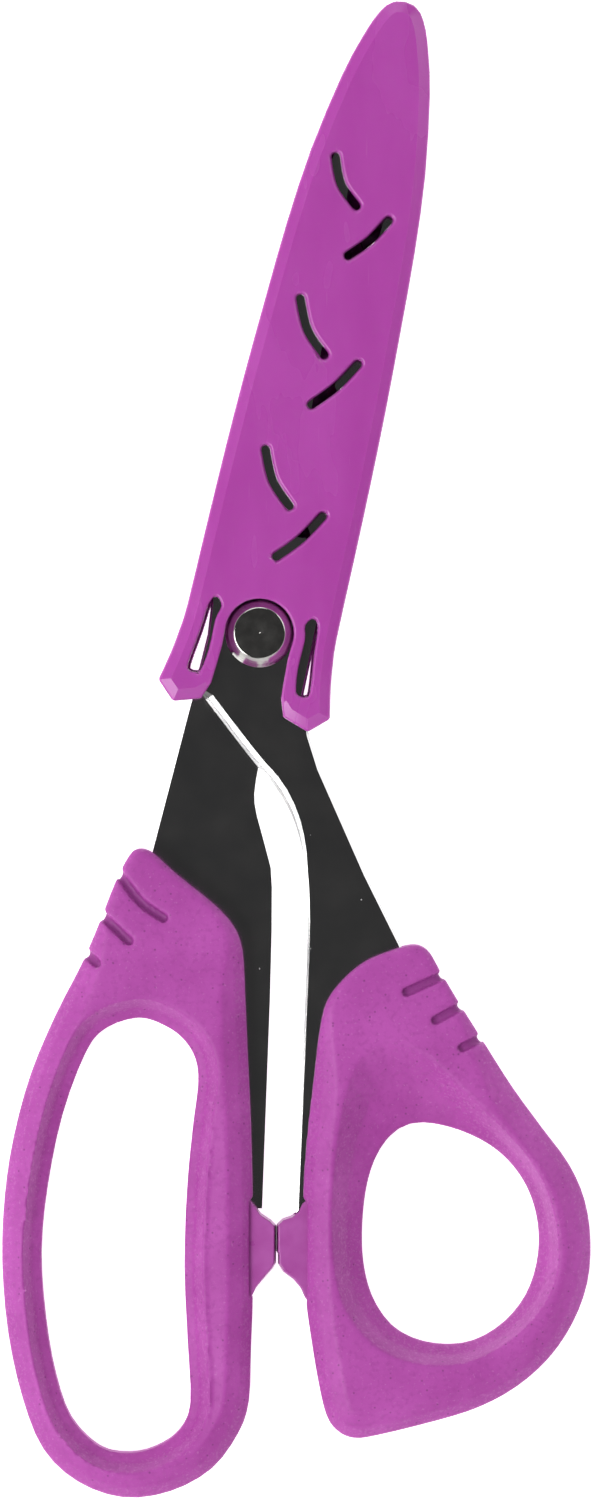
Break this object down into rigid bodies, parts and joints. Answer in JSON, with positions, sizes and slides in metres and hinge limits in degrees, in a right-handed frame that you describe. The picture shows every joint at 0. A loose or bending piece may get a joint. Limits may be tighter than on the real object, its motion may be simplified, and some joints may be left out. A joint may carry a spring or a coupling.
{
  "type": "decorative edge scissors",
  "caption": "Decorative edge scissors with soft grip handles, toothed meshing blades on one pivot, and a slotted blade sheath that slides off over the tips.",
  "frame": {"origin": "on the pivot axis, at the centre of the flat rear face of the pivot nut", "axes": "+Z is the pivot axis and points out of the front, where the bolt head shows; +Y points from the handles to the blade tips; +X points to the thumb handle; the blades and sheath lean 13 degrees from +Y towards +X"},
  "size_m": [0.0901, 0.229, 0.012],
  "materials": {
    "blade_steel": "smooth polished blade steel with bright ground bevels",
    "pivot_steel": "bright polished pivot hardware",
    "washer_steel": "plain spring steel",
    "purple_soft_grip": "matte soft purple overmould",
    "purple_hard_plastic": "satin purple moulded plastic",
    "purple_sheath_plastic": "satin purple moulded sheath"
  },
  "bodies": {
    "pivot": {"pivot_bolt": "pivot_steel", "pivot_nut": "pivot_steel", "spring_washer": "washer_steel"},
    "front_half": {"front_blade": "blade_steel", "front_handle_core": "purple_hard_plastic", "front_handle_grip": "purple_soft_grip"},
    "back_half": {"back_blade": "blade_steel", "back_handle_core": "purple_hard_plastic", "back_handle_grip": "purple_soft_grip"},
    "sheath": {"sheath": "purple_sheath_plastic"}
  },
  "joints": [
    {"name": "front_pivot", "type": "hinge", "parent": "pivot", "child": "front_half", "pos_m": [0, 0, 0.00505], "axis": [0, 0, 1], "range_deg": [0, 18]},
    {"name": "back_pivot", "type": "hinge", "parent": "pivot", "child": "back_half", "pos_m": [0, 0, 0.00505], "axis": [0, 0, -1], "range_deg": [0, 18]},
    {"name": "sheath_slide", "type": "slide", "parent": "pivot", "child": "sheath", "axis": [0.225, 0.9744, 0], "range_m": [0, 0.378]}
  ],
  "couplings": [
    {"joint": "back_pivot", "follows": "front_pivot", "ratio": 1},
    {"joint": "sheath_slide", "follows": "front_pivot", "m_per_rad": 1.2}
  ]
}
